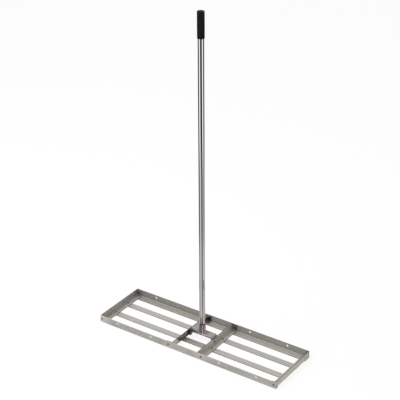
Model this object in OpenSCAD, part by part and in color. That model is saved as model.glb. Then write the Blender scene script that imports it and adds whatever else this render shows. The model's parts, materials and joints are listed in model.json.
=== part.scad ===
// Lawn leveling rake: a bolted frame of bent sheet steel with a pivoting pole handle.
// Millimetres, +Z up, origin on the ground under the middle of the head, front towards -Y.

/* [Head] */
// Length of the head, side to side
head_length = 914; // [700:1:1200]
// Width of the head over the rails, front to back
head_width = 276; // [240:1:360]
// Height of the standing legs of the rails
rail_height = 33; // [31:1:40]
// Width of the flat leg of the front rail
front_flange = 22; // [22:1:40]
// Width of the flat leg of the back rail
back_flange = 34; // [24:1:40]
// Thickness of the sheet of the head
sheet = 2.5; // [2:0.1:3]
// Inner radius of the bends in the head's sheet
bend_radius = 2; // [1:0.1:3]

/* [Cross members] */
// Width of the flat legs of the end bars
end_flange = 28; // [24:1:40]
// Width of the flat legs of the crossbars
crossbar_flange = 27; // [24:1:40]
// Clear distance between the two crossbars
crossbar_gap = 130; // [110:1:200]
// Distance of an end bar's ear screw from the end of the head
end_ear_reach = 9.5; // [9.5:0.5:14]
// Distance of a crossbar's ear screw from the face of the crossbar
crossbar_ear_reach = 20; // [12:0.5:26]
// Length of an ear past its screw
ear_margin = 8; // [6:0.5:12]
// Height of the ears, down from the top of the rails
ear_height = 24; // [20:1:24]
// Height of the ear screws above the ground
ear_screw_height = 18; // [17:0.5:20]

/* [Slats] */
// Width of the slats
slat_width = 31; // [20:1:34]
// Distance between the middles of the two slats
slat_spacing = 88; // [80:1:110]
// Distance of the slats' ends from the ends of the head
slat_inset = 3; // [0:0.5:6]

/* [Open holes] */
// Diameter of the open holes in the rails
hole_diameter = 9.5; // [5:0.5:10]
// Diameter of the open holes in the end bars
end_hole_diameter = 7; // [5:0.5:10]
// Distance between the two inner holes of the front rail
front_inner_spacing = 358; // [300:1:420]
// Distance between the two outer holes of the front rail
front_outer_spacing = 724; // [500:1:780]
// Distance of the back rail's inner hole from the middle, to the right
back_inner_offset = 159; // [130:1:210]
// Distance between the two outer holes of the back rail
back_outer_spacing = 698; // [500:1:780]
// Distance between the two holes of an end bar
end_hole_spacing = 206; // [140:1:220]
// Height of the open holes above the ground
hole_height = 21; // [18:0.5:25]

/* [Small screws] */
// Diameter of the screws of the frame
screw_diameter = 5; // [4:0.5:6]
// Diameter of the button heads
button_diameter = 9.2; // [8.5:0.1:10]
// Height of the button heads
button_height = 2.6; // [2:0.1:3]
// Width across the flats of the socket in a button head
button_key = 3; // [2:0.1:3]
// Width across the flats of the nuts of the frame
screw_nut_flats = 8; // [7.5:0.1:10]
// Thickness of the nuts of the frame
screw_nut_height = 4; // [3:0.1:5]

/* [Pivot] */
// Width of the yoke, front to back
yoke_width = 40; // [32:0.5:42]
// Thickness of the sheet of the yoke
yoke_sheet = 4; // [3:0.1:5]
// Clear height of the yoke's legs above the ground
yoke_ground_gap = 2.5; // [2.5:0.1:5]
// Clear height between the pivot nuts and the bends of the yoke
yoke_nut_gap = 1; // [0.5:0.1:6]
// Diameter of the pivot bolts
bolt_diameter = 8; // [6:0.5:10]
// Width across the flats of the pivot bolts' heads and nuts
bolt_flats = 13; // [12:0.5:17]
// Height of the pivot bolts' heads
bolt_head_height = 5.3; // [4:0.1:7]
// Thickness of the hexagon of a pivot nut
bolt_nut_height = 6; // [5:0.1:8]
// Diameter of the pivot washers
washer_diameter = 17; // [15:0.5:22]
// Thickness of the pivot washers
washer_sheet = 1.6; // [1:0.1:2.5]

/* [Handle] */
// Height of the whole tool, from the ground to the top of the grip
tool_height = 1497; // [1100:1:1800]
// Diameter of the tubes of the pole
tube_diameter = 25.4; // [22:0.1:26]
// Wall of the tubes
tube_wall = 1.2; // [0.8:0.1:2]
// Height of the joint of the two tubes above the ground
joint_height = 733; // [500:1:900]
// Length of the joint that shows between the tubes
joint_collar = 12; // [6:1:30]
// Length of the joint inside each tube
joint_spigot = 36; // [20:1:60]
// Wall of the joint
joint_wall = 3; // [2:0.1:6]
// Diameter of the socket at the foot of the pole
socket_diameter = 30.4; // [29.5:0.1:32]
// Height of the socket's rim above the yoke
socket_height = 40; // [30:1:70]
// Size of the weld bead round the foot of the socket
weld_bead = 1.2; // [0.6:0.1:1.2]
// Diameter of the socket screw
socket_screw_diameter = 6; // [5:0.5:8]
// Width across the flats of the socket screw's head
socket_screw_flats = 10; // [8:0.5:13]
// Height of the socket screw's head
socket_screw_head = 4; // [3:0.1:6]
// Depth of the socket screw's middle below the rim of the socket
socket_screw_depth = 18; // [12:1:22]
// Diameter of the grip
grip_diameter = 30.4; // [28:0.1:34]
// Length of the grip
grip_length = 109; // [80:1:160]
// Thickness of the grip's closed top
grip_top = 5; // [3:0.5:8]
// Radius of the grip's rounded top edge
grip_round = 1.5; // [1:0.5:6]

/* [Hidden] */
// Fine round faces
$fn = 64;
// Clearance on the radius of a bolt or tube in its hole
fit = 0.1;
// Running clearance on the radius of the pivot bolts in the yoke
running_fit = 0.06;
// Side clearance between the yoke and the washers and nuts beside it
side_gap = 0.3;
// Clearance between the sheets of the cross members and the rails
sheet_gap = 0.2;
// Overrun of every cut past the faces that it goes through
overrun = 1;
// Depth of the countersunk heads inside the underside of the head
screw_recess = 0.2;
// Length of a screw's end past its nut
screw_end = 1.5;
// Groove at each end of the joint's collar, and round edge at the foot of the grip
edge_groove = 0.6;
// Height of the round collar on a pivot lock nut, and how far it lies inside the flats
lock_collar = 2;
lock_collar_inset = 0.8;
// How far the chamfer of a nut or bolt head lies outside the flats at its top, and its slope from flat
hex_chamfer = 0.1;
hex_slope = 30;

// Heights of the cross members, which lie on the rails' flat legs and on the slats
member_height = rail_height - sheet;
member_top = 2 * sheet;
// Face of a rail's standing leg on the inside of the head
rail_inside = head_width / 2 - sheet;
// Half length of a cross member up to the bends of its ears
member_reach = rail_inside - sheet_gap - bend_radius - sheet;

// Places of the small screws
end_screw_x = head_length / 2 - (end_flange + sheet) / 2;
crossbar_screw_x = crossbar_gap / 2 + (crossbar_flange + sheet) / 2;
front_screw_y = -rail_inside + (front_flange - sheet) / 2;
back_screw_y = rail_inside - (back_flange - sheet) / 2;
slat_screw_y = slat_spacing / 2;
flange_screw_ys = [front_screw_y, back_screw_y];
slat_screw_ys = [-slat_screw_y, slat_screw_y];
flat_screw_xs = [-end_screw_x, -crossbar_screw_x, crossbar_screw_x, end_screw_x];
end_ear_x = head_length / 2 - end_ear_reach;
crossbar_ear_x = crossbar_gap / 2 + crossbar_ear_reach;
ear_screw_xs = [-end_ear_x, -crossbar_ear_x, crossbar_ear_x, end_ear_x];
front_hole_xs = [for (side = [-1, 1]) for (spacing = [front_inner_spacing, front_outer_spacing]) side * spacing / 2];
back_hole_xs = [-back_outer_spacing / 2, back_inner_offset, back_outer_spacing / 2];

// Sizes of the small screws
screw_r = screw_diameter / 2;
countersunk_depth = sheet - 2 * screw_recess;
countersunk_r = screw_r + countersunk_depth;
button_r = button_diameter / 2;
screw_length = member_top + screw_nut_height + screw_end;

// Pivot and yoke
pivot_height = yoke_ground_gap + yoke_width / 2;
yoke_top = pivot_height + corner_radius(bolt_flats) + yoke_nut_gap + 2 * yoke_sheet;
yoke_half = crossbar_gap / 2 - washer_sheet - side_gap;
leg_inside = yoke_half - yoke_sheet;
bolt_r = bolt_diameter / 2;
bolt_seat = crossbar_gap / 2 + sheet;
nut_face = leg_inside - side_gap;
bolt_end = nut_face - bolt_nut_height - lock_collar;

// Handle
socket_top = yoke_top + socket_height;
socket_screw_height = socket_top - socket_screw_depth;
tube_r = tube_diameter / 2;
tube_bore = tube_r - tube_wall;
socket_r = socket_diameter / 2;
socket_bore = tube_r + fit;
tube_top = tool_height - grip_top;

// Colours
steel = [0.66, 0.65, 0.63];
dull_steel = [0.55, 0.54, 0.53];
polished = [0.78, 0.78, 0.79];
black_rubber = [0.06, 0.06, 0.06];

// Radius of a hexagon's corners from the width across its flats
function corner_radius(flats) = flats / sqrt(3);

// Outline of a bent sheet: outer corner at the origin, legs along +X and +Y
module bent_outline(leg_x, leg_y, thickness, radius) {
    outer = radius + thickness;
    translate([outer, 0])
        square([leg_x - outer, thickness]);
    translate([0, outer])
        square([thickness, leg_y - outer]);
    translate([outer, outer])
        intersection() {
            difference() {
                circle(outer);
                circle(radius);
            }
            translate([-outer, -outer])
                square(outer);
        }
}

// Straight hole along Z through everything between two heights
module hole(radius, low, high) {
    translate([0, 0, low - overrun])
        cylinder(r = radius, h = high - low + 2 * overrun);
}

// Hexagon prism standing on Z = 0, with the corners of its top chamfered
module hexagon(flats, height) {
    top_r = flats / 2 + hex_chamfer;
    intersection() {
        cylinder(r = corner_radius(flats), h = height, $fn = 6);
        cylinder(r1 = top_r + height / tan(hex_slope), r2 = top_r, h = height);
    }
}

// Hexagon with a round bore
module hex_nut(flats, height, bore) {
    difference() {
        hexagon(flats, height);
        hole(bore, 0, height);
    }
}

// Both the front and the back copy of a piece
module front_and_back() {
    children();
    mirror([0, 1, 0])
        children();
}

// Both the left and the right copy of a piece
module left_and_right() {
    children();
    mirror([1, 0, 0])
        children();
}

// Countersunk hole for a frame screw through one sheet that lies on the ground
module countersunk_hole() {
    hole(screw_r + fit, 0, sheet);
    translate([0, 0, screw_recess])
        cylinder(r1 = countersunk_r + fit, r2 = screw_r + fit, h = countersunk_depth);
    translate([0, 0, -overrun])
        cylinder(r = countersunk_r + fit, h = overrun + screw_recess);
}

// Front rail: bent angle with its standing leg outside, a flat leg of some width, and open holes at some places
module rail(flange, screw_y, hole_xs) {
    difference() {
        translate([0, -head_width / 2, 0])
            rotate([90, 0, 90])
                linear_extrude(head_length, center = true)
                    bent_outline(flange, rail_height, sheet, bend_radius);
        for (x = hole_xs)
            translate([x, 0, hole_height])
                rotate([90, 0, 0])
                    hole(hole_diameter / 2, rail_inside, head_width / 2);
        for (x = ear_screw_xs)
            translate([x, 0, ear_screw_height])
                rotate([90, 0, 0])
                    hole(screw_r + fit, rail_inside, head_width / 2);
        for (x = flat_screw_xs)
            translate([x, screw_y, 0])
                countersunk_hole();
    }
}

// Ear at the front end of a cross member, bent from its standing leg
module ear(reach) {
    translate([0, -rail_inside + sheet_gap, rail_height - ear_height])
        linear_extrude(ear_height)
            bent_outline(reach + ear_margin, 2 * (bend_radius + sheet), sheet, bend_radius);
}

// Cross member with the outside of its standing leg at X = 0 and its flat leg towards +X
module cross_member(flange, ear_reach) {
    screw_x = (flange + sheet) / 2;
    difference() {
        union() {
            translate([0, 0, sheet])
                rotate([90, 0, 0])
                    linear_extrude(2 * member_reach, center = true)
                        bent_outline(flange, member_height, sheet, bend_radius);
            front_and_back()
                ear(ear_reach);
        }
        for (y = concat(flange_screw_ys, slat_screw_ys))
            translate([screw_x, y, 0])
                hole(screw_r + fit, sheet, member_top);
        front_and_back()
            translate([ear_reach, 0, ear_screw_height])
                rotate([90, 0, 0])
                    hole(screw_r + fit, rail_inside - sheet - sheet_gap, rail_inside);
    }
}

// Left end bar with its two open holes
module end_bar() {
    translate([-head_length / 2, 0, 0])
        difference() {
            cross_member(end_flange, end_ear_reach);
            front_and_back()
                translate([0, end_hole_spacing / 2, hole_height])
                    rotate([0, 90, 0])
                        hole(end_hole_diameter / 2, 0, sheet);
        }
}

// Right crossbar with the hole of its pivot bolt
module crossbar() {
    translate([crossbar_gap / 2, 0, 0])
        difference() {
            cross_member(crossbar_flange, crossbar_ear_reach);
            translate([0, 0, pivot_height])
                rotate([0, 90, 0])
                    hole(bolt_r + fit, 0, sheet);
        }
}

// Front slat: flat bar on the ground
module slat() {
    length = head_length - 2 * slat_inset;
    difference() {
        translate([-length / 2, -slat_screw_y - slat_width / 2, 0])
            cube([length, slat_width, sheet]);
        for (x = flat_screw_xs)
            translate([x, -slat_screw_y, 0])
                countersunk_hole();
    }
}

// Countersunk screws in rows at some distances from the middle of the head
module flat_screws(ys) {
    for (x = flat_screw_xs, y = ys)
        translate([x, y, screw_recess]) {
            cylinder(r1 = countersunk_r, r2 = screw_r, h = countersunk_depth);
            cylinder(r = screw_r, h = screw_length - screw_recess);
        }
}

// Nuts of the countersunk screws, on top of the cross members
module flat_nuts(ys) {
    for (x = flat_screw_xs, y = ys)
        translate([x, y, member_top])
            hex_nut(screw_nut_flats, screw_nut_height, screw_r + fit);
}

// Button head on Z = 0 with its shank along -Z
module button_screw(length) {
    dome_r = (button_r * button_r + button_height * button_height) / (2 * button_height);
    difference() {
        union() {
            rotate_extrude()
                intersection() {
                    translate([0, button_height - dome_r])
                        circle(dome_r);
                    square([button_r, button_height]);
                }
            translate([0, 0, -length])
                cylinder(r = screw_r, h = length);
        }
        translate([0, 0, button_height / 2])
            cylinder(r = corner_radius(button_key), h = button_height, $fn = 6);
    }
}

// Hexagon bolt of the right pivot: head outside the crossbar, end inside the yoke
module pivot_bolt() {
    translate([bolt_seat, 0, pivot_height])
        rotate([0, 90, 0]) {
            hexagon(bolt_flats, bolt_head_height);
            translate([0, 0, bolt_end - bolt_seat])
                cylinder(r = bolt_r, h = bolt_seat - bolt_end);
        }
}

// Lock nut of the right pivot, inside the yoke
module pivot_nut() {
    translate([nut_face, 0, pivot_height])
        rotate([0, -90, 0])
            difference() {
                union() {
                    hexagon(bolt_flats, bolt_nut_height);
                    cylinder(r = bolt_flats / 2 - lock_collar_inset, h = bolt_nut_height + lock_collar);
                }
                hole(bolt_r + fit, 0, bolt_nut_height + lock_collar);
            }
}

// Washer of the right pivot, against the inside of the crossbar
module pivot_washer() {
    translate([crossbar_gap / 2 - washer_sheet, 0, pivot_height])
        rotate([0, 90, 0])
            difference() {
                cylinder(r = washer_diameter / 2, h = washer_sheet);
                hole(bolt_r + fit, 0, washer_sheet);
            }
}

// Front view of the yoke: an inverted U with bent corners
module yoke_outline() {
    left_and_right()
        translate([-yoke_half, yoke_top])
            mirror([0, 1])
                bent_outline(yoke_half, yoke_top - yoke_ground_gap, yoke_sheet, yoke_sheet);
}

// Side view of the yoke: legs with full round ends about the pivot
module yoke_side() {
    translate([0, pivot_height])
        circle(yoke_width / 2);
    translate([-yoke_width / 2, pivot_height])
        square([yoke_width, yoke_top - pivot_height]);
}

// Wall of a tube on the pole's axis between two heights
module tube(outer, inner, low, high) {
    translate([0, 0, low])
        difference() {
            cylinder(r = outer, h = high - low);
            hole(inner, 0, high - low);
        }
}

// Hole of the socket screw, through the back wall only
module socket_screw_hole() {
    translate([0, 0, socket_screw_height])
        rotate([-90, 0, 0])
            cylinder(r = socket_screw_diameter / 2 + fit, h = socket_r + overrun);
}

module front_rail() {
    color(steel)
        rail(front_flange, front_screw_y, front_hole_xs);
}

module back_rail() {
    color(steel)
        mirror([0, 1, 0])
            rail(back_flange, -back_screw_y, back_hole_xs);
}

module left_end_bar() {
    color(steel)
        end_bar();
}

module right_end_bar() {
    color(steel)
        mirror([1, 0, 0])
            end_bar();
}

module left_crossbar() {
    color(steel)
        mirror([1, 0, 0])
            crossbar();
}

module right_crossbar() {
    color(steel)
        crossbar();
}

module front_slat() {
    color(steel)
        slat();
}

module back_slat() {
    color(steel)
        mirror([0, 1, 0])
            slat();
}

module slat_screws() {
    color(dull_steel)
        flat_screws(slat_screw_ys);
}

module slat_nuts() {
    color(dull_steel)
        flat_nuts(slat_screw_ys);
}

module flange_screws() {
    color(dull_steel)
        flat_screws(flange_screw_ys);
}

module flange_nuts() {
    color(dull_steel)
        flat_nuts(flange_screw_ys);
}

module ear_screws() {
    color(dull_steel)
        front_and_back()
            for (x = ear_screw_xs)
                translate([x, -head_width / 2, ear_screw_height])
                    rotate([90, 0, 0])
                        button_screw(2 * sheet + sheet_gap + screw_nut_height + screw_end);
}

module ear_nuts() {
    color(dull_steel)
        front_and_back()
            for (x = ear_screw_xs)
                translate([x, -rail_inside + sheet + sheet_gap, ear_screw_height])
                    rotate([-90, 0, 0])
                        hex_nut(screw_nut_flats, screw_nut_height, screw_r + fit);
}

module pivot_bolts() {
    color(dull_steel)
        left_and_right()
            pivot_bolt();
}

module pivot_washers() {
    color(dull_steel)
        left_and_right()
            pivot_washer();
}

module pivot_nuts() {
    color(dull_steel)
        left_and_right()
            pivot_nut();
}

module pivot_yoke() {
    color(steel)
        difference() {
            intersection() {
                rotate([90, 0, 0])
                    linear_extrude(yoke_width, center = true)
                        yoke_outline();
                rotate([90, 0, 90])
                    linear_extrude(2 * yoke_half, center = true)
                        yoke_side();
            }
            left_and_right()
                translate([0, 0, pivot_height])
                    rotate([0, 90, 0])
                        hole(bolt_r + running_fit, leg_inside, yoke_half);
        }
}

module handle_socket() {
    color(polished)
        difference() {
            union() {
                tube(socket_r, socket_bore, yoke_top, socket_top);
                translate([0, 0, yoke_top])
                    rotate_extrude()
                        translate([socket_r - fit, 0])
                            polygon([[0, 0], [weld_bead + fit, 0], [fit, weld_bead], [0, weld_bead]]);
            }
            socket_screw_hole();
        }
}

module socket_screw() {
    color(dull_steel)
        translate([0, 0, socket_screw_height])
            rotate([-90, 0, 0]) {
                translate([0, 0, socket_r])
                    hexagon(socket_screw_flats, socket_screw_head);
                translate([0, 0, tube_bore])
                    cylinder(r = socket_screw_diameter / 2, h = socket_r - tube_bore);
            }
}

module lower_tube() {
    color(polished)
        difference() {
            tube(tube_r, tube_bore, yoke_top, joint_height - joint_collar / 2);
            socket_screw_hole();
        }
}

module tube_joint() {
    half = joint_collar / 2;
    spigot_r = tube_bore - fit;
    inner = spigot_r - joint_wall;
    color(polished)
        translate([0, 0, joint_height])
            rotate_extrude()
                polygon([
                    [inner, -half - joint_spigot], [spigot_r, -half - joint_spigot], [spigot_r, -half],
                    [tube_r - edge_groove, -half], [tube_r, -half + edge_groove],
                    [tube_r, half - edge_groove], [tube_r - edge_groove, half],
                    [spigot_r, half], [spigot_r, half + joint_spigot], [inner, half + joint_spigot]
                ]);
}

module upper_tube() {
    color(polished)
        tube(tube_r, tube_bore, joint_height + joint_collar / 2, tube_top);
}

module grip() {
    outer = grip_diameter / 2;
    low = tool_height - grip_length;
    color(black_rubber)
        difference() {
            rotate_extrude()
                union() {
                    translate([0, low])
                        square([outer - edge_groove, edge_groove]);
                    translate([0, low + edge_groove])
                        square([outer, grip_length - edge_groove - grip_round]);
                    translate([0, tool_height - grip_round])
                        square([outer - grip_round, grip_round]);
                    translate([outer - grip_round, tool_height - grip_round])
                        intersection() {
                            circle(grip_round);
                            square(grip_round);
                        }
                    translate([outer - edge_groove, low + edge_groove])
                        intersection() {
                            circle(edge_groove);
                            translate([0, -edge_groove])
                                square(edge_groove);
                        }
                }
            translate([0, 0, low - overrun])
                cylinder(r = tube_r + fit, h = tube_top - low + overrun);
        }
}

front_rail();
back_rail();
left_end_bar();
right_end_bar();
left_crossbar();
right_crossbar();
front_slat();
back_slat();
slat_screws();
slat_nuts();
flange_screws();
flange_nuts();
ear_screws();
ear_nuts();
pivot_bolts();
pivot_washers();
pivot_nuts();
pivot_yoke();
handle_socket();
socket_screw();
lower_tube();
tube_joint();
upper_tube();
grip();
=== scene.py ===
"""Looks of a lawn leveling rake: brushed sheet head, polished pole, black grip, stage and camera."""

import json
import math

import bmesh
import bpy
from mathutils import Matrix, Vector


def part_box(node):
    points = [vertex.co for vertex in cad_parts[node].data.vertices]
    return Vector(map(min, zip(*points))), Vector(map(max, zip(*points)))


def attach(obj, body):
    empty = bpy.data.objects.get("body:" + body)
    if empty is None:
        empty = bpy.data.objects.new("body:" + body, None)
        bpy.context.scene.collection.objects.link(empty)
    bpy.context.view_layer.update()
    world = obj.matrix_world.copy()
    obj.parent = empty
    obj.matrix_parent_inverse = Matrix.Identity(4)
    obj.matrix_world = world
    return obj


bl_info = {
    "name": "Lawn leveling rake looks",
    "version": (1, 0, 0),
    "blender": (4, 5, 0),
    "location": "3D View > Sidebar > Rake",
    "description": "Dresses the lawn leveling rake and sets its stage",
    "category": "Object",
}

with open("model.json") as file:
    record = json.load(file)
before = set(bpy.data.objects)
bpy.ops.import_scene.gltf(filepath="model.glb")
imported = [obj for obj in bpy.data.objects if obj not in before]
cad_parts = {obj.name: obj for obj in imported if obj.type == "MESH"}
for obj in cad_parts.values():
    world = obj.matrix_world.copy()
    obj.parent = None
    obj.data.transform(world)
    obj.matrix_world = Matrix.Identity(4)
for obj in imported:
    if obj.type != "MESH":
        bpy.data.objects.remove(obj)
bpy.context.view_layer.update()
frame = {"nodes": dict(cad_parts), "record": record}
PHOTO_WIDTH = 400
SENSOR_WIDTH = 36.0
MM = 0.001
WHITE = (1.0, 1.0, 1.0, 1.0)

# From the CAD, where X runs along the head from its middle, Y from front to back and Z up: thickness of
# the sheet, outer faces of the back rail and the right end bar, inner face of the right crossbar, and heights
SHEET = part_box("front_slat")[1].z
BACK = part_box("back_rail")[1].y
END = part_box("right_end_bar")[1].x
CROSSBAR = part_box("right_crossbar")[0].x
PIVOT_HEIGHT = sum(corner.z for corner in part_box("pivot_bolts")) / 2
SOCKET_FOOT, SOCKET_TOP = (corner.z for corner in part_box("handle_socket"))

# Ways that the brushing runs: few lines per metre along it, many across it
ALONG_X = (6.0, 900.0, 900.0)
ALONG_Y = (900.0, 6.0, 900.0)
ALONG_Z = (900.0, 900.0, 2.0)

# Cloudy patches per metre on each kind of surface, and the depth of its bump
CLOUDS = {"sheet": 7.0, "pole": 5.0, "heated": 60.0, "fastener": 180.0, "rubber": 40.0}
DEPTHS = {"sheet": 0.02 * MM, "pole": 0.001 * MM, "heated": 0.01 * MM, "fastener": 0.03 * MM,
          "rubber": 0.06 * MM}

# Sides of a piece where its sheet was cut: an axis, whether the side faces away from the middle of the tool,
# and how far the painted shade on the cut face reaches in
INNER = False
OUTER = True
THIN = 0.15 * MM
WIDE = 1.4 * MM
FRONT_RAIL_CUTS = (("Y", INNER, THIN),)
BACK_RAIL_CUTS = (*FRONT_RAIL_CUTS, ("Z", OUTER, THIN))
SLAT_CUTS = (("Y", INNER, THIN), ("Y", OUTER, THIN))
END_BAR_CUTS = (("X", INNER, THIN), ("Z", OUTER, THIN))
CROSSBAR_CUTS = (("X", OUTER, WIDE), ("Z", OUTER, THIN))
YOKE_CUTS = (("Y", OUTER, THIN),)

# Like pieces that share a finish
SCREWS = ("ear_screws", "ear_nuts", "socket_screw")
SUNK_SCREWS = ("slat_screws", "flange_screws")
NUTS = ("slat_nuts", "flange_nuts", "pivot_bolts", "pivot_washers", "pivot_nuts")
TUBES = ("lower_tube", "upper_tube", "tube_joint")


# Settings

def colour_setting(name, description, default, most=1.0):
    """A colour that a user may change."""
    return bpy.props.FloatVectorProperty(
        name=name, description=description, subtype="COLOR", default=default, min=0, max=most)


def share_setting(name, description, default):
    """A share between 0 and 1."""
    return bpy.props.FloatProperty(
        name=name, description=description, subtype="FACTOR", default=default, min=0, max=1)


def length_setting(name, description, default):
    """A length in metres."""
    return bpy.props.FloatProperty(name=name, description=description, unit="LENGTH", default=default, min=0)


def angle_setting(name, description, degrees):
    """An angle, with its default given in degrees."""
    return bpy.props.FloatProperty(
        name=name, description=description, subtype="ANGLE", default=math.radians(degrees))


def place_setting(name, description, default):
    """A point in metres."""
    return bpy.props.FloatVectorProperty(
        name=name, description=description, subtype="XYZ", unit="LENGTH", default=default)


class SteelSettings(bpy.types.PropertyGroup):
    """Colours and finish of the metal."""
    sheet: colour_setting("Sheet", "Colour of the head's sheet steel", (0.425, 0.415, 0.388))
    warm: colour_setting(
        "Warm tint", "Tint that the sheet drifts to in patches", (1.08, 0.985, 0.945), most=2.0)
    # Painted shade: the dark colour of the marks laid where the frame and the pole are in shade
    painted_shade: colour_setting("Grime", "Colour of the dark films on the frame and the pole", (0.12, 0.115, 0.09))
    # Painted shade in an olive colour on the left crossbar
    olive: colour_setting("Olive film", "Colour of the thin film on the left crossbar", (0.3, 0.295, 0.215))
    # Painted black shade on the frame and the yoke where they lie in deep shade, and on the yoke's cut faces
    painted_black_shade: colour_setting("Burn", "Colour of the blackened steel", (0.012, 0.008, 0.012))
    # Painted highlight on the yoke's front edge
    painted_edge_highlight: colour_setting("Worn edge", "Colour of the yoke's rubbed front edge", (0.9, 0.87, 0.9))
    # Heat tint near the weld; round the pivot bolts it is laid as painted shade, and on the socket and weld
    # bead it carries painted reflection streaks
    tint: colour_setting(
        "Heat tint", "Colour of the steel near the weld and the pivot bolts", (0.24, 0.2, 0.19))
    pole: colour_setting("Pole", "Colour of the polished tubes", (0.86, 0.86, 0.845))
    # Painted shade on the cut faces of the sheet and on the walls of the end bars' holes
    cut: colour_setting("Cut faces", "Colour of the cut faces of the sheet", (0.1, 0.09, 0.078))
    screw: colour_setting("Screws", "Colour of the screws and of the nuts on the ears", (0.15, 0.142, 0.132))
    nut: colour_setting("Nuts", "Colour of the other nuts, the bolts and the washers", (0.5, 0.488, 0.456))
    sheet_roughness: share_setting("Sheet roughness", "Middle roughness of the sheet", 0.5)
    sheet_metal: share_setting("Sheet metal", "Share of mirrored light in the sheet's satin surface", 0.5)
    pole_roughness: share_setting("Pole roughness", "Middle roughness of the tubes", 0.05)


class WeldSettings(bpy.types.PropertyGroup):
    """Sizes of the weld bead round the foot of the socket."""
    narrow: length_setting("Narrow", "Size of the bead at the front and back of the socket", 1.25 * MM)
    wide: length_setting("Wide", "Size of the bead at the sides of the socket", 2.8 * MM)
    ripple: share_setting("Ripple", "Share by which the ripples swell the bead", 0.14)
    ripples: bpy.props.IntProperty(
        name="Ripples", description="Ripples all round the bead", default=44, min=1)


class GripSettings(bpy.types.PropertyGroup):
    """Colour and gloss of the grip."""
    rubber: colour_setting("Rubber", "Colour of the grip", (0.0075, 0.0075, 0.0075))
    gloss: share_setting("Gloss", "Strength of the grip's gloss", 0.05)


class StageSettings(bpy.types.PropertyGroup):
    """Camera, floor and light."""
    azimuth: angle_setting("Azimuth", "Camera's angle round the tool, from the front", 34.62)
    elevation: angle_setting("Elevation", "Camera's angle above the horizon", 27.33)
    roll: angle_setting("Roll", "Camera's turn about its own axis", -0.33)
    distance: length_setting("Distance", "Camera's distance from its aim", 5.2155)
    aim: place_setting("Aim", "Point in the middle of the picture", (-0.0058, -0.004, 0.684))
    focal_pixels: bpy.props.FloatProperty(
        name="Focal length", description="Focal length in pixels of the photograph", default=1266.5, min=1)
    floor: colour_setting("Floor", "Colour of the floor", (0.95, 0.95, 0.95))
    floor_glow: share_setting("Floor white", "Share of plain white in what is seen of the floor", 0.85)
    sky: bpy.props.FloatProperty(
        name="Sky", description="Strength of the even light from all round", default=0.8, min=0)
    key: bpy.props.FloatProperty(
        name="Key", description="Power of the large soft lamp", unit="POWER", default=60.0, min=0)
    key_width: length_setting("Key width", "Width of the lamp", 2.4)
    key_depth: length_setting("Key depth", "Depth of the lamp", 1.8)
    key_place: place_setting("Key place", "Place of the lamp", (-1.6, -1.4, 3.0))
    key_aim: place_setting("Key aim", "Point that the lamp faces", (0.0, 0.0, 0.4))


SETTINGS = {"rake_steel": SteelSettings, "rake_weld": WeldSettings, "rake_grip": GripSettings,
            "rake_stage": StageSettings}


# Small helpers for nodes and meshes

# Sockets of a Mix node when it mixes colours
MIX_FACTOR, MIX_FIRST, MIX_SECOND, MIX_RESULT = 0, 6, 7, 2


def add(tree, kind, inputs=None, **values):
    """Adds a node, sets its values, and sets or links its inputs."""
    node = tree.nodes.new(kind)
    for name, value in values.items():
        setattr(node, name, value)
    for key, value in (inputs or {}).items():
        if isinstance(value, bpy.types.NodeSocket):
            tree.links.new(value, node.inputs[key])
        else:
            node.inputs[key].default_value = value
    return node


def maths(tree, operation, *terms):
    """Adds a Math node on numbers or sockets and gives its output."""
    return add(tree, "ShaderNodeMath", dict(enumerate(terms)), operation=operation).outputs[0]


def mapped(tree, value, low, high, to_low=0.0, to_high=1.0, smooth=False):
    """Maps a value between two ends onto another range, clamped."""
    node = add(tree, "ShaderNodeMapRange",
               {"Value": value, "From Min": low, "From Max": high, "To Min": to_low, "To Max": to_high},
               interpolation_type="SMOOTHSTEP" if smooth else "LINEAR")
    return node.outputs["Result"]


def fade(tree, value, full, none, most=1.0, least=0.0, smooth=False):
    """The most of an effect from its full end outwards, and the least from its other end outwards."""
    if full < none:
        return mapped(tree, value, full, none, most, least, smooth)
    return mapped(tree, value, none, full, least, most, smooth)


def band(tree, value, low, high, soft, most=1.0):
    """The most of an effect between two values, with soft ends."""
    rise = fade(tree, value, full=low + soft, none=low - soft, smooth=True)
    fall = fade(tree, value, full=high - soft, none=high + soft, most=most, smooth=True)
    return maths(tree, "MULTIPLY", rise, fall)


def all_of(tree, *masks):
    """1 where every mask is 1."""
    product = masks[0]
    for mask in masks[1:]:
        product = maths(tree, "MULTIPLY", product, mask)
    return product


def shifted(tree, value, by, amount):
    """A value plus an amount of another one, so that a rim drawn on it wavers or leans."""
    return maths(tree, "MULTIPLY_ADD", by, amount, value)


def length_of(tree, first, second):
    """Length of two distances at right angles."""
    squares = [maths(tree, "POWER", side, 2.0) for side in (first, second)]
    return maths(tree, "SQRT", maths(tree, "ADD", *squares))


def angle_from_front(tree, parts):
    """Angle round the upright axis, from the front and positive to the right."""
    return maths(tree, "ARCTAN2", parts["X"], maths(tree, "MULTIPLY", parts["Y"], -1.0))


def angle_ramp(tree, angle, points):
    """Brightness by angle, from points that each give an angle in degrees and a brightness."""
    ramp = add(tree, "ShaderNodeValToRGB", {"Fac": mapped(tree, angle, -math.pi, math.pi)})
    stops = ramp.color_ramp.elements
    while len(stops) < len(points):
        stops.new(0.5)
    for stop, (degrees, brightness) in zip(stops, points):
        stop.position = (degrees + 180) / 360
        stop.color = (brightness, brightness, brightness, 1.0)
    return ramp.outputs["Color"]


def times(colour, gain, tint=(1.0, 1.0, 1.0)):
    """A plain colour times a gain and a tint."""
    return [gain * c * t for c, t in zip(colour, tint)]


def scaled(tree, colour, factor):
    """A colour times a number or another colour, each a socket or a plain value."""
    return add(tree, "ShaderNodeVectorMath", {0: colour, 1: factor}, operation="MULTIPLY").outputs[0]


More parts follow.
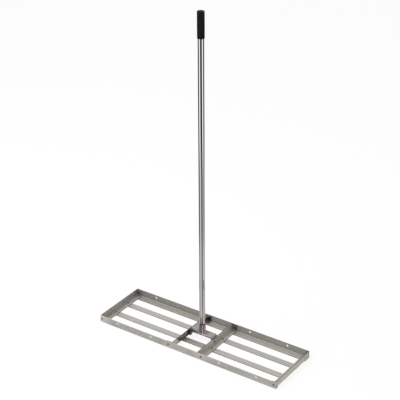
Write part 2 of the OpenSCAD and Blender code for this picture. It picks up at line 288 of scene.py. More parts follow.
def blend_colours(tree, factor, first, second):
    """Mixes two colours, each a socket or a plain colour, by a mask."""
    inputs = {MIX_FACTOR: factor}
    for index, value in ((MIX_FIRST, first), (MIX_SECOND, second)):
        inputs[index] = value if isinstance(value, bpy.types.NodeSocket) else (*value, 1.0)
    return add(tree, "ShaderNodeMix", inputs, data_type="RGBA").outputs[MIX_RESULT]


def new_group(name, inputs, outputs):
    """Starts a shader node group with named sockets, and gives its tree, input node and output node."""
    group = bpy.data.node_groups.new(name, "ShaderNodeTree")
    for label, kind, default in inputs:
        socket = group.interface.new_socket(label, in_out="INPUT", socket_type=kind)
        socket.default_value = default
    for label, kind in outputs:
        group.interface.new_socket(label, in_out="OUTPUT", socket_type=kind)
    return group, group.nodes.new("NodeGroupInput"), group.nodes.new("NodeGroupOutput")


def use_group(tree, name, **inputs):
    """Places a shared group in a material and gives its output."""
    node = add(tree, "ShaderNodeGroup", node_tree=bpy.data.node_groups[name])
    for label, value in inputs.items():
        node.inputs[label].default_value = value
    return node.outputs[0]


def new_tree(name):
    """A material with an empty node tree."""
    material = bpy.data.materials.new(name)
    material.use_nodes = True
    material.node_tree.nodes.clear()
    return material, material.node_tree


def new_material(name):
    """A material with a Principled shader, and its tree."""
    material, tree = new_tree(name)
    shader = tree.nodes.new("ShaderNodeBsdfPrincipled")
    add(tree, "ShaderNodeOutputMaterial", {"Surface": shader.outputs[0]})
    return material, tree, shader


def feed(tree, shader, colour, roughness, height, depth):
    """Links a colour, a roughness and a bump height to the shader."""
    tree.links.new(colour, shader.inputs["Base Color"])
    tree.links.new(roughness, shader.inputs["Roughness"])
    node = add(tree, "ShaderNodeBump", {"Height": height, "Distance": depth})
    tree.links.new(node.outputs[0], shader.inputs["Normal"])


def place(tree):
    """Object coordinates, which are the tool's own metres."""
    return add(tree, "ShaderNodeTexCoord").outputs["Object"]


def parts_of(tree, vector):
    """A vector as separate X, Y and Z."""
    return add(tree, "ShaderNodeSeparateXYZ", {0: vector}).outputs


def place_parts(tree):
    """Object coordinates as separate X, Y and Z."""
    return parts_of(tree, place(tree))


def dress(names, material):
    """Gives a material to CAD nodes."""
    for name in names:
        slots = frame["nodes"][name].data.materials
        slots.clear()
        slots.append(material)


def new_object(name, mesh_maker, material):
    """Makes a mesh object from a function that fills a bmesh."""
    bm = bmesh.new()
    mesh_maker(bm)
    mesh = bpy.data.meshes.new(name)
    bm.to_mesh(mesh)
    bm.free()
    mesh.materials.append(material)
    thing = bpy.data.objects.new(name, mesh)
    bpy.context.scene.collection.objects.link(thing)
    return thing


# Shared surface effects

def make_brushing_group():
    """Fine lines along one direction, from a noise that is stretched."""
    tree, start, end = new_group(
        "sheet brushing", [("Stretch", "NodeSocketVector", ALONG_X)], [("Lines", "NodeSocketFloat")])
    noise = add(tree, "ShaderNodeTexNoise",
                {"Vector": scaled(tree, place(tree), start.outputs["Stretch"]), "Scale": 1.0, "Detail": 3.0,
                 "Roughness": 0.65})
    tree.links.new(mapped(tree, noise.outputs[0], low=0.25, high=0.75), end.inputs["Lines"])


def make_cloud_group():
    """Soft cloudy patches."""
    tree, start, end = new_group(
        "steel clouds", [("Scale", "NodeSocketFloat", CLOUDS["sheet"])], [("Cloud", "NodeSocketFloat")])
    noise = add(tree, "ShaderNodeTexNoise",
                {"Vector": place(tree), "Scale": start.outputs["Scale"], "Detail": 3.0, "Roughness": 0.55,
                 "Distortion": 0.4})
    tree.links.new(mapped(tree, noise.outputs[0], low=0.3, high=0.7), end.inputs["Cloud"])


def make_edge_group():
    """Rubbed edges: where a small bevel would turn the normal."""
    tree, start, end = new_group(
        "rubbed edges", [("Width", "NodeSocketFloat", 0.8 * MM)], [("Edge", "NodeSocketFloat")])
    rounded = add(tree, "ShaderNodeBevel", {"Radius": start.outputs["Width"]}, samples=4)
    straight = add(tree, "ShaderNodeNewGeometry").outputs["Normal"]
    dot = add(tree, "ShaderNodeVectorMath", {0: rounded.outputs[0], 1: straight}, operation="DOT_PRODUCT")
    tree.links.new(mapped(tree, dot.outputs["Value"], low=0.99, high=0.75), end.inputs["Edge"])


class RAKE_OT_effects(bpy.types.Operator):
    """Make the surface effects that the finishes share"""
    bl_idname = "rake.effects"
    bl_label = "Shared effects"

    def execute(self, context):
        make_brushing_group()
        make_cloud_group()
        make_edge_group()
        return {"FINISHED"}


def uneven(tree, lines, cloud, share):
    """Brightness round 1 that the lines and the cloud each change by a share."""
    return maths(tree, "MULTIPLY_ADD", lines, share, maths(tree, "MULTIPLY_ADD", cloud, share, 1.0 - share))


def uneven_roughness(tree, lines, cloud, middle, by_lines, by_cloud):
    """Roughness round a middle value."""
    spread = maths(tree, "MULTIPLY_ADD", lines, by_lines, maths(tree, "MULTIPLY", cloud, by_cloud))
    return maths(tree, "ADD", spread, middle - (by_lines + by_cloud) / 2)


def rub_edges(tree, colour, plain, width, share, gain):
    """Brightens a colour along the edges."""
    edge = use_group(tree, "rubbed edges", Width=width)
    return blend_colours(tree, maths(tree, "MULTIPLY", edge, share), colour, times(plain, gain))


# Finish of the sheet

def cut_faces(tree, node, sides):
    """1 on the cut faces of a node and of its mirror image."""
    spot = place_parts(tree)
    low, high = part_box(node)
    mask = 0.0
    for axis, outer, depth in sides:
        index = "XYZ".index(axis)
        near, far = sorted((abs(low[index]), abs(high[index])))
        reach = maths(tree, "ABSOLUTE", spot[axis])
        if outer:
            hit = maths(tree, "GREATER_THAN", reach, far - depth)
        else:
            hit = maths(tree, "LESS_THAN", reach, near + depth)
        mask = maths(tree, "MAXIMUM", mask, hit)
    return mask


def sheet_finish(name, steel, nodes, cuts, cut_colour, stretch, tone, warmth, stains_and_painted_light=()):
    """Dresses nodes in brushed sheet with warm patches, rubbed edges, the given marks, most of them painted
    light and shade, and cut faces painted dark as shade.
    """
    material, tree, shader = new_material(name)
    lines = use_group(tree, "sheet brushing", Stretch=stretch)
    cloud = use_group(tree, "steel clouds", Scale=CLOUDS["sheet"])
    base = times(steel.sheet, tone)
    warm = times(base, 1.0, steel.warm)
    colour = blend_colours(tree, maths(tree, "MULTIPLY", cloud, warmth), base, warm)
    colour = scaled(tree, colour, uneven(tree, lines, cloud, share=0.1))
    colour = rub_edges(tree, colour, base, width=0.6 * MM, share=0.3, gain=1.3)
    # Most of these marks are painted light and shade
    for surface_mark in stains_and_painted_light:
        mask, mark_colour = surface_mark(tree, steel, cloud, base)
        colour = blend_colours(tree, mask, colour, mark_colour)
    # The cut faces get a dark colour that is painted shade
    colour = blend_colours(tree, cut_faces(tree, nodes[0], cuts), colour, cut_colour)
    roughness = uneven_roughness(tree, lines, cloud, steel.sheet_roughness, by_lines=0.12, by_cloud=0.08)
    feed(tree, shader, colour, roughness, lines, DEPTHS["sheet"])
    shader.inputs["Metallic"].default_value = steel.sheet_metal
    dress(nodes, material)


# Painted sheen on the front rail. Each of these marks gives a mask and a colour.

def end_painted_sheen(tree, steel, cloud, base):
    """Ends of the front rail, painted lighter than its middle: a painted sheen, most at its left corner,
    least at its right.
    """
    along = place_parts(tree)["X"]
    middle = band(tree, along, -145 * MM, 55 * MM, soft=30 * MM)
    ends = maths(tree, "SUBTRACT", 1.0, middle)
    left = fade(tree, along, full=-450 * MM, none=-390 * MM, least=0.36)
    right = fade(tree, along, full=340 * MM, none=420 * MM, least=0.28)
    return all_of(tree, ends, left, right), times(base, 1.75)


# Painted light and shade, and a warm patch, on the back rail

def inside_back(tree, spot):
    """1 inside the back rail's outer face."""
    return fade(tree, spot["Y"], full=BACK - 2 * MM, none=BACK - 1 * MM)


def flat_leg(tree, spot):
    """1 on a rail's flat leg."""
    return fade(tree, spot["Z"], full=SHEET + 0.5 * MM, none=2 * SHEET)


def standing_leg(tree, spot, least=0.0):
    """1 on a rail's standing leg, and the least on its flat leg."""
    return fade(tree, spot["Z"], full=2 * SHEET + 3 * MM, none=2 * SHEET, least=least)


def flange_painted_light(tree, steel, cloud, base):
    """Flat leg of the back rail, painted lighter than its standing leg: painted light from above, and most at
    the right.
    """
    spot = place_parts(tree)
    along = fade(tree, spot["X"], full=330 * MM, none=-330 * MM, most=0.95, least=0.45)
    return all_of(tree, flat_leg(tree, spot), along), times(base, 1.58)


def back_leg_painted_shade(tree, steel, cloud, base):
    """Painted shade on the left half of the back rail's standing leg"""
    spot = place_parts(tree)
    along = fade(tree, spot["X"], full=-200 * MM, none=0.0, most=0.25)
    return all_of(tree, standing_leg(tree, spot), inside_back(tree, spot), along), times(base, 0.6)


def bend_painted_highlight(tree, steel, cloud, base):
    """Painted highlight: a bright line along the back rail's bend."""
    spot = place_parts(tree)
    line = band(tree, spot["Y"], BACK - 8.5 * MM, BACK - 4.5 * MM, soft=0.6 * MM)
    return all_of(tree, line, flat_leg(tree, spot)), times(base, 1.7)


def bend_painted_shade(tree, steel, cloud, base):
    """Painted shade: a dark line just above the back rail's bend."""
    return band(tree, place_parts(tree)["Z"], 4 * MM, 8 * MM, soft=0.8 * MM, most=0.5), steel.painted_shade


def pivot_tint(tree, steel, cloud, base):
    """Warm patch on the back rail's standing leg behind the left crossbar."""
    spot = place_parts(tree)
    along = band(tree, spot["X"], -90 * MM, -44 * MM, soft=6 * MM)
    high = fade(tree, spot["Z"], full=12 * MM, none=8 * MM)
    return all_of(tree, inside_back(tree, spot), along, high), times(base, 1.2, steel.warm)


def pivot_painted_black(tree, steel, cloud, base):
    """Painted black shade on the back rail beside the left crossbar, under a line that leans up to the right.
    """
    spot = place_parts(tree)
    wavy = shifted(tree, spot["X"], cloud, 6 * MM)
    right = fade(tree, wavy, full=-48 * MM, none=-34 * MM, most=0.92, smooth=True)
    left = fade(tree, spot["X"], full=-CROSSBAR, none=-CROSSBAR - 3 * MM)
    back = fade(tree, spot["Y"], full=122 * MM, none=108 * MM)
    leaning = shifted(tree, spot["Z"], spot["X"], -0.87)
    under = fade(tree, leaning, full=69 * MM, none=81 * MM, smooth=True)
    level = fade(tree, spot["Z"], full=6 * MM, none=3 * MM, least=0.7)
    return all_of(tree, right, left, inside_back(tree, spot), back, under, level), steel.painted_black_shade


def corner_painted_black(tree, steel, cloud, base):
    """Painted black shade on the back rail's left end."""
    spot = place_parts(tree)
    wavy = shifted(tree, spot["X"], cloud, 6 * MM)
    along = fade(tree, wavy, full=-446 * MM, none=-432 * MM, most=0.8, smooth=True)
    return all_of(tree, along, inside_back(tree, spot), standing_leg(tree, spot, least=0.3)), steel.painted_black_shade


# Painted light and shade on the end bars

def end_corner_painted_shade(tree, steel, cloud, base):
    """Painted shade on the end bars' inner faces that deepens towards the back corners."""
    spot = place_parts(tree)
    along = fade(tree, spot["Y"], full=135 * MM, none=-40 * MM, most=0.66, least=0.12, smooth=True)
    standing = fade(tree, spot["Z"], full=9 * MM, none=5 * MM, least=0.08)
    inside = fade(tree, maths(tree, "ABSOLUTE", spot["X"]), full=END - 1.5 * MM, none=END - 1 * MM)
    return all_of(tree, along, standing, inside), times(base, 0.5)


def outer_painted_light(tree, steel, cloud, base):
    """Outer faces of the end bars, painted lighter than their inner faces: painted light, most near the
    front.
    """
    spot = place_parts(tree)
    outside = fade(tree, maths(tree, "ABSOLUTE", spot["X"]), full=END - 0.5 * MM, none=END - 1 * MM)
    corner = fade(tree, spot["Y"], full=-118 * MM, none=-132 * MM)
    along = fade(tree, spot["Y"], full=-50 * MM, none=10 * MM, least=0.5)
    return all_of(tree, outside, corner, along), times(base, 1.2, steel.warm)


def end_bores(tree, steel, cloud, base):
    """Cut walls of the open holes in the end bars, painted dark as shade."""
    holes = next(mount for mount in frame["record"]["mounts"] if mount["name"] == "right_end_holes")
    half_spacing = holes["dims"]["spacing_x_mm"] / 2 * MM
    hole_r = holes["dims"]["hole_r_mm"] * MM
    spot = place_parts(tree)
    across = maths(tree, "SUBTRACT", maths(tree, "ABSOLUTE", spot["Y"]), half_spacing)
    rise = maths(tree, "SUBTRACT", spot["Z"], holes["pos_m"][2])
    return maths(tree, "LESS_THAN", length_of(tree, across, rise), hole_r + THIN), steel.cut


# Painted light and shade on the crossbars

def inner_face(tree, spot):
    """1 on the left crossbar's face beside the yoke."""
    return band(tree, spot["X"], -CROSSBAR - 0.55 * MM, 0.0, soft=0.25 * MM)


def front_painted_light(tree, steel, cloud, base):
    """Front end of the left crossbar's inner face, painted lighter than the rest: painted light."""
    spot = place_parts(tree)
    along = fade(tree, spot["Y"], full=-116 * MM, none=-86 * MM)
    return all_of(tree, inner_face(tree, spot), along), times(base, 1.26)


def olive_painted_shade(tree, steel, cloud, base):
    """Painted olive shade on the left crossbar's inner face, in front of the pivot."""
    spot = place_parts(tree)
    wavy = shifted(tree, spot["Y"], cloud, 10 * MM)
    along = band(tree, wavy, -72 * MM, 10 * MM, soft=10 * MM, most=0.95)
    return all_of(tree, inner_face(tree, spot), along), steel.olive


def crossbar_painted_shade(tree, steel, cloud, base):
    """Dark painted shade on the left crossbar's inner face: low beside the pivot, and full height further
    forward.
    """
    spot = place_parts(tree)
    leaning = shifted(tree, spot["Y"], spot["Z"], 0.7)
    along = band(tree, shifted(tree, leaning, cloud, 14 * MM), -68 * MM, 6 * MM, soft=9 * MM)
    level = mapped(tree, spot["Y"], -84 * MM, -64 * MM, to_low=40 * MM, to_high=17 * MM)
    over = maths(tree, "SUBTRACT", spot["Z"], level)
    low = fade(tree, over, full=-6 * MM, none=4 * MM, most=0.95, smooth=True)
    return all_of(tree, inner_face(tree, spot), along, low), steel.painted_shade


def crossbar_painted_black(tree, steel, cloud, base):
    """Painted black shade low on the back end of the left crossbar's inner face."""
    spot = place_parts(tree)
    wavy = shifted(tree, spot["Y"], cloud, 8 * MM)
    along = fade(tree, wavy, full=114 * MM, none=90 * MM, most=0.9, smooth=True)
    low = fade(tree, spot["Z"], full=14 * MM, none=24 * MM, least=0.15, smooth=True)
    return all_of(tree, inner_face(tree, spot), along, low), steel.painted_black_shade


def ear_painted_shade(tree, steel, cloud, base):
    """Painted dark shade on the back ear of the right crossbar."""
    spot = place_parts(tree)
    back = fade(tree, spot["Y"], full=131 * MM, none=124 * MM, most=0.85)
    right = fade(tree, spot["X"], full=CROSSBAR + 3 * MM, none=CROSSBAR + 2 * MM)
    return all_of(tree, back, right), steel.painted_shade


def bolt_painted_shade(tree, steel, cloud, base):
    """Painted shade round the pivot bolts on the crossbars' outer faces, in the heat tint colour."""
    spot = place_parts(tree)
    reach = length_of(tree, spot["Y"], maths(tree, "SUBTRACT", spot["Z"], PIVOT_HEIGHT))
    wavy = shifted(tree, reach, cloud, -10 * MM)
    near = fade(tree, wavy, full=5 * MM, none=16 * MM, most=0.6, smooth=True)
    outside = fade(tree, maths(tree, "ABSOLUTE", spot["X"]), full=CROSSBAR + 2 * MM, none=CROSSBAR + 1.5 * MM)
    return all_of(tree, near, outside), steel.tint


# Heat tint, painted shade and a painted highlight on the yoke

def weld_tint(tree, steel, cloud, base):
    """Heat tint of the yoke near the socket."""
    spot = place_parts(tree)
    wavy = shifted(tree, length_of(tree, spot["X"], spot["Y"]), cloud, -9 * MM)
    return fade(tree, wavy, full=14 * MM, none=36 * MM, most=0.9, smooth=True), steel.tint


def yoke_painted_black(tree, steel, cloud, base):
    """Painted black shade on the yoke's front corner over the left pivot."""
    spot = place_parts(tree)
    leaning = shifted(tree, spot["Y"], spot["X"], 0.32)
    wavy = shifted(tree, leaning, cloud, 9 * MM)
    return fade(tree, wavy, full=-24 * MM, none=-8 * MM, most=0.95, smooth=True), steel.painted_black_shade


def yoke_leg_painted_black(tree, steel, cloud, base):
    """Painted black shade on the yoke's legs, under its bends, most on the left."""
    spot = place_parts(tree)
    low = fade(tree, spot["Z"], full=30 * MM, none=38 * MM, most=0.85, smooth=True)
    return all_of(tree, low, fade(tree, spot["X"], full=0.0, none=40 * MM, least=0.3)), steel.painted_black_shade


def yoke_edge_painted_highlight(tree, steel, cloud, base):
    """Painted highlight along the yoke's front edge, right of the corner painted black."""
    spot = place_parts(tree)
    edge = fade(tree, spot["Y"], full=-16 * MM, none=-11 * MM, smooth=True)
    along = band(tree, spot["X"], -6 * MM, 30 * MM, soft=14 * MM)
    return all_of(tree, edge, along), steel.painted_edge_highlight


class RAKE_OT_sheet(bpy.types.Operator):
    """Dress the rails, slats, end bars and crossbars in brushed sheet steel, with painted light and shade on
    them
    """
    bl_idname = "rake.sheet"
    bl_label = "Sheet of the head"

    def execute(self, context):
        steel = context.scene.rake_steel
        # Each piece's tone is set to the brightness it shows in this light, so the tones are partly painted
        # light and shade on one sheet steel
        sheet_finish("front rail steel", steel, ("front_rail",), FRONT_RAIL_CUTS, steel.cut, ALONG_X,
                     tone=1.09, warmth=0.4, stains_and_painted_light=(end_painted_sheen,))
        sheet_finish("back rail steel", steel, ("back_rail",), BACK_RAIL_CUTS, steel.cut, ALONG_X,
                     tone=0.9, warmth=0.3,
                     stains_and_painted_light=(flange_painted_light, back_leg_painted_shade, bend_painted_highlight, bend_painted_shade, pivot_tint, pivot_painted_black,
                             corner_painted_black))
        sheet_finish("slat steel", steel, ("front_slat", "back_slat"), SLAT_CUTS, steel.cut, ALONG_X,
                     tone=1.16, warmth=0.6)
        sheet_finish("end bar steel", steel, ("left_end_bar", "right_end_bar"), END_BAR_CUTS, steel.cut,
                     ALONG_Y, tone=1.13, warmth=0.8, stains_and_painted_light=(end_corner_painted_shade, outer_painted_light, end_bores))
        sheet_finish("crossbar steel", steel, ("left_crossbar", "right_crossbar"), CROSSBAR_CUTS, steel.cut,
                     ALONG_Y, tone=1.26, warmth=0.8,
                     stains_and_painted_light=(front_painted_light, olive_painted_shade, crossbar_painted_shade, crossbar_painted_black, ear_painted_shade, bolt_painted_shade))
        return {"FINISHED"}


class RAKE_OT_yoke(bpy.types.Operator):
    """Dress the yoke in sheet with heat tint, painted black shade on its corner, legs and cut faces, and a
    painted highlight on its front edge
    """
    bl_idname = "rake.yoke"
    bl_label = "Yoke"

    def execute(self, context):
        steel = context.scene.rake_steel
        sheet_finish("yoke steel", steel, ("pivot_yoke",), YOKE_CUTS, steel.painted_black_shade, ALONG_X,
                     tone=0.89, warmth=0.9, stains_and_painted_light=(weld_tint, yoke_painted_black, yoke_leg_painted_black, yoke_edge_painted_highlight))
        return {"FINISHED"}


# Finishes and pieces of the handle

# Painted reflection streaks round the socket, over its heat tint: angle from the front in degrees, and
# brightness
SOCKET_PAINTED_STREAKS = ((-60, 0.48), (-16, 0.36), (-6, 0.24), (26, 0.21), (32, 0.81), (42, 0.81), (48, 0.21),
                (60, 0.21), (68, 0.78), (120, 0.6), (180, 0.42))
# Gain of the heated steel in its darkest and lightest patches, and its roughness there
HEATED_GAIN = (2.8, 3.9)
HEATED_ROUGHNESS = (0.36, 0.5)

# The rippled bead starts this far inside the rim of the plain bead that the CAD socket has at its foot
BEAD_OVERLAP = 1 * MM
# The rippled bead is a quarter round of radius 1, spun on a path of this radius before it gets its sizes
PATH_R = 2.0
ARC_POINTS = 7
STEPS_PER_RIPPLE = 8


def pole_finish(name, steel):
    """Polished steel with fine lines along the pole, and a dark ring over the socket that is painted shade,
    standing in for the shadow at the socket's mouth.
    """
    material, tree, shader = new_material(name)
    lines = use_group(tree, "sheet brushing", Stretch=ALONG_Z)
    cloud = use_group(tree, "steel clouds", Scale=CLOUDS["pole"])
    shade = uneven(tree, lines, cloud, share=0.06)
    # The ring over the socket is painted shade
    ring = fade(tree, place_parts(tree)["Z"], full=SOCKET_TOP + 6 * MM, none=SOCKET_TOP + 7 * MM, most=0.92)
    colour = blend_colours(tree, ring, scaled(tree, steel.pole, shade), steel.painted_shade)
    roughness = uneven_roughness(tree, lines, cloud, steel.pole_roughness, by_lines=0.02, by_cloud=0.02)
    feed(tree, shader, colour, roughness, lines, DEPTHS["pole"])
    shader.inputs["Metallic"].default_value = 1.0
    return material


def heat_tint_with_painted_streaks(name, steel):
    """Heat tinted steel with painted reflection streaks round it."""
    material, tree, shader = new_material(name)
    lines = use_group(tree, "sheet brushing", Stretch=ALONG_Z)
    cloud = use_group(tree, "steel clouds", Scale=CLOUDS["heated"])
    angle = angle_from_front(tree, place_parts(tree))
    colour = scaled(tree, steel.tint, angle_ramp(tree, angle, SOCKET_PAINTED_STREAKS))
    colour = scaled(tree, colour, mapped(tree, cloud, 0.0, 1.0, *HEATED_GAIN))
    feed(tree, shader, colour, mapped(tree, cloud, 0.0, 1.0, *HEATED_ROUGHNESS), lines, DEPTHS["heated"])
    shader.inputs["Metallic"].default_value = steel.sheet_metal
    return material


class RAKE_OT_pole(bpy.types.Operator):
    """Dress the tubes and their joint in polished steel with a painted dark ring over the socket, and the
    socket in heat tinted steel with painted reflection streaks
    """
    bl_idname = "rake.pole"
    bl_label = "Pole"

    def execute(self, context):
        steel = context.scene.rake_steel
        dress(TUBES, pole_finish("polished tube", steel))
        dress(("handle_socket",), heat_tint_with_painted_streaks("socket steel", steel))
        return {"FINISHED"}


def fill_bead(bm, weld, start_r):
    """Fills a bmesh with a rippled quarter round, wider at the socket's sides than at its front and back."""
    turns = [math.pi / 2 * step / (ARC_POINTS - 1) for step in range(ARC_POINTS)]
    arc = [bm.verts.new((math.cos(turn), 0.0, math.sin(turn))) for turn in turns]
    edges = [bm.edges.new(pair) for pair in zip(arc, arc[1:])]
    bmesh.ops.spin(bm, geom=[*arc, *edges], cent=(-PATH_R, 0, 0), axis=(0, 0, 1), angle=math.tau,
                   steps=STEPS_PER_RIPPLE * weld.ripples, use_merge=True)
    for vert in bm.verts:
        across = Vector((vert.co.x + PATH_R, vert.co.y))
        turn = math.atan2(across.y, across.x)
        size = weld.narrow + (weld.wide - weld.narrow) * math.cos(turn) ** 2
        size *= 1 + weld.ripple * math.cos(weld.ripples * turn)
        reach = start_r + size * (across.length - PATH_R)
        vert.co = (reach * math.cos(turn), reach * math.sin(turn), SOCKET_FOOT + size * vert.co.z)
    bmesh.ops.recalc_face_normals(bm, faces=bm.faces)


class RAKE_OT_weld(bpy.types.Operator):
    """Add the rippled weld bead round the foot of the socket"""
    bl_idname = "rake.weld"
    bl_label = "Weld bead"

    def execute(self, context):
        weld = context.scene.rake_weld
        start_r = frame["nodes"]["handle_socket"].dimensions.x / 2 - BEAD_OVERLAP
        # The bead shares the socket's heat tint and painted reflection streaks
        material = heat_tint_with_painted_streaks("weld steel", context.scene.rake_steel)
        thing = new_object("weld_bead", lambda bm: fill_bead(bm, weld, start_r), material)
        thing.data.shade_smooth()
        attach(thing, "handle")
        return {"FINISHED"}


def fastener_finish(name, nodes, tone, metal):
    """Dresses fasteners in dull steel with brighter edges."""
    material, tree, shader = new_material(name)
    cloud = use_group(tree, "steel clouds", Scale=CLOUDS["fastener"])
    colour = blend_colours(tree, cloud, times(tone, 0.8), tone)
    colour = rub_edges(tree, colour, tone, width=0.5 * MM, share=0.5, gain=1.6)
    roughness = mapped(tree, cloud, 0.0, 1.0, to_low=0.28, to_high=0.45)
    feed(tree, shader, colour, roughness, cloud, DEPTHS["fastener"])
    shader.inputs["Metallic"].default_value = metal
    dress(nodes, material)


class RAKE_OT_fasteners(bpy.types.Operator):
    """Dress the ear fasteners and socket screw in dark steel, sunk screws in black and the rest in pale"""
    bl_idname = "rake.fasteners"
    bl_label = "Fasteners"

    def execute(self, context):
        steel = context.scene.rake_steel
        fastener_finish("dark screw steel", SCREWS, steel.screw, metal=1.0)
        fastener_finish("black screw steel", SUNK_SCREWS, times(steel.screw, 0.3), metal=1.0)
        fastener_finish("pale nut steel", NUTS, steel.nut, metal=steel.sheet_metal)
        return {"FINISHED"}


class RAKE_OT_grip(bpy.types.Operator):
    """Dress the grip in black rubber"""
    bl_idname = "rake.grip"
    bl_label = "Grip"

    def execute(self, context):
        grip = context.scene.rake_grip
        material, tree, shader = new_material("black rubber")
        cloud = use_group(tree, "steel clouds", Scale=CLOUDS["rubber"])
        noise = add(tree, "ShaderNodeTexNoise", {"Vector": place(tree), "Scale": 2600.0, "Detail": 2.0})
        grain = noise.outputs[0]
        colour = blend_colours(tree, cloud, grip.rubber, times(grip.rubber, 1.6))
        roughness = mapped(tree, grain, low=0.3, high=0.7, to_low=0.5, to_high=0.65)
        feed(tree, shader, colour, roughness, grain, DEPTHS["rubber"])
        shader.inputs["Specular IOR Level"].default_value = grip.gloss
        dress(("grip",), material)
        return {"FINISHED"}


# Stage

# Reach of the floor, and of the studio floor that mirrors see just over it
FLOOR_REACH = 20.0
SURROUND_REACH = 8.0
SURROUND_HEIGHT = 1 * MM
HIDDEN_RAYS = ("camera", "diffuse", "transmission", "volume_scatter", "shadow")

# Soft rims of the dark studio ceiling and of a dark panel at the back right: the ceiling's rim and
# the panel's foot as sines of the angle above the horizon, the panel's sides as angles from the front
# in degrees
CEILING_RIM = (0.8, 0.87)
PANEL_FOOT = (0.06, 0.12)
PANEL_SIDES = ((-180, 0.0), (122, 0.0), (130, 1.0), (166, 1.0), (174, 0.0), (180, 0.0))
PANEL_BRIGHTNESS = 0.08

# Brightness of the studio floor round the tool, as polished steel mirrors it: angle from the camera in
# degrees, and brightness
FAR = ((-180, 0.3), (-150, 0.04), (-84, 0.04), (-72, 1.0), (-40, 1.0), (-29, 0.02), (27, 0.02),
       (38, 1.0), (71, 1.0), (80, 0.04), (150, 0.04), (180, 0.3))
MIDDLE = ((-180, 0.5), (-145, 0.3), (-128, 0.12), (-72, 0.12), (-60, 0.7), (-30, 0.7), (-16, 0.1), (10, 0.1),
          (22, 0.3), (45, 0.3), (60, 0.36), (128, 0.32), (150, 0.5), (180, 0.5))
CLOSE = ((-180, 0.8), (-140, 0.8), (-110, 0.1), (-80, 0.2), (-66, 0.66), (-46, 0.66), (-30, 0.46), (-5, 0.4),
         (6, 0.1), (24, 0.1), (38, 0.58), (72, 0.58), (90, 0.45), (128, 0.4), (140, 0.8), (180, 0.8))
# Distances from the pole between which one of these turns into the next
CLOSE_TO_MIDDLE = (0.6, 1.1)
MIDDLE_TO_FAR = (1.45, 2.3)


def seen_directly(tree):
    """1 on rays from the camera, a mirror or a clear piece."""
    path = add(tree, "ShaderNodeLightPath").outputs
    either = maths(tree, "MAXIMUM", path["Is Camera Ray"], path["Is Glossy Ray"])
    return maths(tree, "MAXIMUM", either, path["Is Transmission Ray"])


def mirrored_panels(tree):
    """1 on rays from a mirror that meet the dark ceiling or the dark panel."""
    way = parts_of(tree, add(tree, "ShaderNodeTexCoord").outputs["Generated"])
    ceiling = mapped(tree, way["Z"], *CEILING_RIM, smooth=True)
    sides = angle_ramp(tree, angle_from_front(tree, way), PANEL_SIDES)
    panel = all_of(tree, sides, mapped(tree, way["Z"], *PANEL_FOOT, smooth=True))
    mirrored = add(tree, "ShaderNodeLightPath").outputs["Is Glossy Ray"]
    return all_of(tree, maths(tree, "MAXIMUM", ceiling, panel), mirrored)


def make_world(stage):
    """Even white all round, weaker as a light than as a background, with dark panels for mirrors only."""
    world = bpy.data.worlds.new("even white")
    world.use_nodes = True
    tree = world.node_tree
    tree.nodes.clear()
    strength = mapped(tree, seen_directly(tree), 0.0, 1.0, to_low=stage.sky, to_high=1.0)
    dimmed = mapped(tree, mirrored_panels(tree), 0.0, 1.0, to_low=1.0, to_high=PANEL_BRIGHTNESS)
    back = add(tree, "ShaderNodeBackground", {"Color": WHITE, "Strength": all_of(tree, strength, dimmed)})
    add(tree, "ShaderNodeOutputWorld", {"Surface": back.outputs[0]})
    bpy.context.scene.world = world


def level_square(reach, height=0.0):
    """Gives a function that fills a bmesh with a level square."""
    def fill(bm):
        place_at = Matrix.Translation((0, 0, height))
        bmesh.ops.create_grid(bm, x_segments=1, y_segments=1, size=reach, matrix=place_at)
    return fill


def make_floor(stage):
    """White floor that keeps part of the tool's shadow."""
    material, tree = new_tree("white floor")
    plain = add(tree, "ShaderNodeBsdfDiffuse", {"Color": (*stage.floor, 1.0)})
    white = add(tree, "ShaderNodeEmission", {"Color": WHITE, "Strength": 1.0})
    share = maths(tree, "MULTIPLY", seen_directly(tree), stage.floor_glow)
    mix = add(tree, "ShaderNodeMixShader", {0: share, 1: plain.outputs[0], 2: white.outputs[0]})
    add(tree, "ShaderNodeOutputMaterial", {"Surface": mix.outputs[0]})
    floor = new_object("floor", level_square(FLOOR_REACH), material)


def make_surround(stage):
    """Light and dark studio floor that only mirrors see."""
    material, tree = new_tree("studio surround")
    from_camera = maths(tree, "SUBTRACT", angle_from_front(tree, place_parts(tree)), stage.azimuth)
    angle = maths(tree, "WRAP", from_camera, math.pi, -math.pi)
    reach = add(tree, "ShaderNodeVectorMath", {0: place(tree)}, operation="LENGTH").outputs["Value"]
    colour = angle_ramp(tree, angle, CLOSE)
    for ends, points in ((CLOSE_TO_MIDDLE, MIDDLE), (MIDDLE_TO_FAR, FAR)):
        further = mapped(tree, reach, *ends, smooth=True)
        colour = blend_colours(tree, further, colour, angle_ramp(tree, angle, points))
    glow = add(tree, "ShaderNodeEmission", {"Color": colour, "Strength": 1.0})
    add(tree, "ShaderNodeOutputMaterial", {"Surface": glow.outputs[0]})
    thing = new_object("studio_surround", level_square(SURROUND_REACH, SURROUND_HEIGHT), material)
    for ray in HIDDEN_RAYS:
        setattr(thing, "visible_" + ray, False)


def make_lamp(stage):
    """One large soft lamp above the front left of the tool, not mirrored in the steel."""
    lamp = bpy.data.lights.new("soft key", "AREA")
    lamp.shape = "RECTANGLE"
    lamp.size = stage.key_width
    lamp.size_y = stage.key_depth
    lamp.energy = stage.key
    thing = bpy.data.objects.new("soft key", lamp)
    thing.location = stage.key_place
    towards = Vector(stage.key_aim) - thing.location
    thing.rotation_euler = towards.to_track_quat("-Z", "Y").to_euler()
    thing.visible_glossy = False
    bpy.context.scene.collection.objects.link(thing)


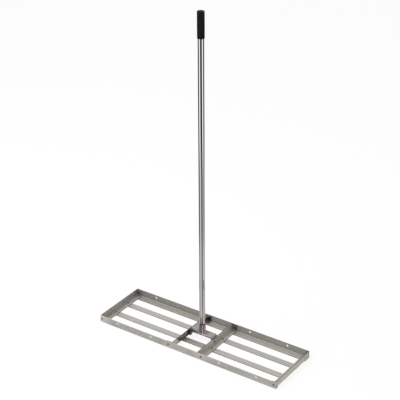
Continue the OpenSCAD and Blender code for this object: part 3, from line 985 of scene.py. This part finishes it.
def make_camera(stage):
    """Camera at the photograph's viewing angle."""
    turn, lift = stage.azimuth, stage.elevation
    right = Vector((math.cos(turn), math.sin(turn), 0.0))
    back = Vector((math.sin(turn) * math.cos(lift), -math.cos(turn) * math.cos(lift), math.sin(lift)))
    pose = Matrix((right, back.cross(right), back)).transposed() @ Matrix.Rotation(stage.roll, 3, "Z")
    camera = bpy.data.objects.new("camera", bpy.data.cameras.new("camera"))
    camera.data.sensor_width = SENSOR_WIDTH
    camera.data.lens = stage.focal_pixels / PHOTO_WIDTH * SENSOR_WIDTH
    camera.matrix_world = Matrix.Translation(Vector(stage.aim) + back * stage.distance) @ pose.to_4x4()
    bpy.context.scene.collection.objects.link(camera)
    bpy.context.scene.camera = camera


class RAKE_OT_stage(bpy.types.Operator):
    """Set the floor, light and camera"""
    bl_idname = "rake.stage"
    bl_label = "Stage"

    def execute(self, context):
        stage = context.scene.rake_stage
        context.scene.view_settings.view_transform = "Standard"
        make_world(stage)
        make_floor(stage)
        make_surround(stage)
        make_lamp(stage)
        make_camera(stage)
        return {"FINISHED"}


# Add-on

OPERATORS = (RAKE_OT_effects, RAKE_OT_sheet, RAKE_OT_yoke, RAKE_OT_pole, RAKE_OT_weld, RAKE_OT_fasteners,
             RAKE_OT_grip, RAKE_OT_stage)


class RAKE_PT_panel(bpy.types.Panel):
    """Buttons for the pieces of the rake"""
    bl_idname = "RAKE_PT_panel"
    bl_label = "Lawn leveling rake"
    bl_space_type = "VIEW_3D"
    bl_region_type = "UI"
    bl_category = "Rake"

    def draw(self, context):
        for operator in OPERATORS:
            self.layout.operator(operator.bl_idname)


CLASSES = (*SETTINGS.values(), *OPERATORS, RAKE_PT_panel)


def register():
    """Registers the classes, and adds the settings to the scene."""
    for item in CLASSES:
        bpy.utils.register_class(item)
    for name, group in SETTINGS.items():
        setattr(bpy.types.Scene, name, bpy.props.PointerProperty(type=group))


def unregister():
    """Takes the settings and the classes away again."""
    for name in SETTINGS:
        delattr(bpy.types.Scene, name)
    for item in reversed(CLASSES):
        bpy.utils.unregister_class(item)


def main():
    """Runs every operator."""
    register()
    for operator in OPERATORS:
        family, name = operator.bl_idname.split(".")
        getattr(getattr(bpy.ops, family), name)()


if __name__ == "__main__":
    main()
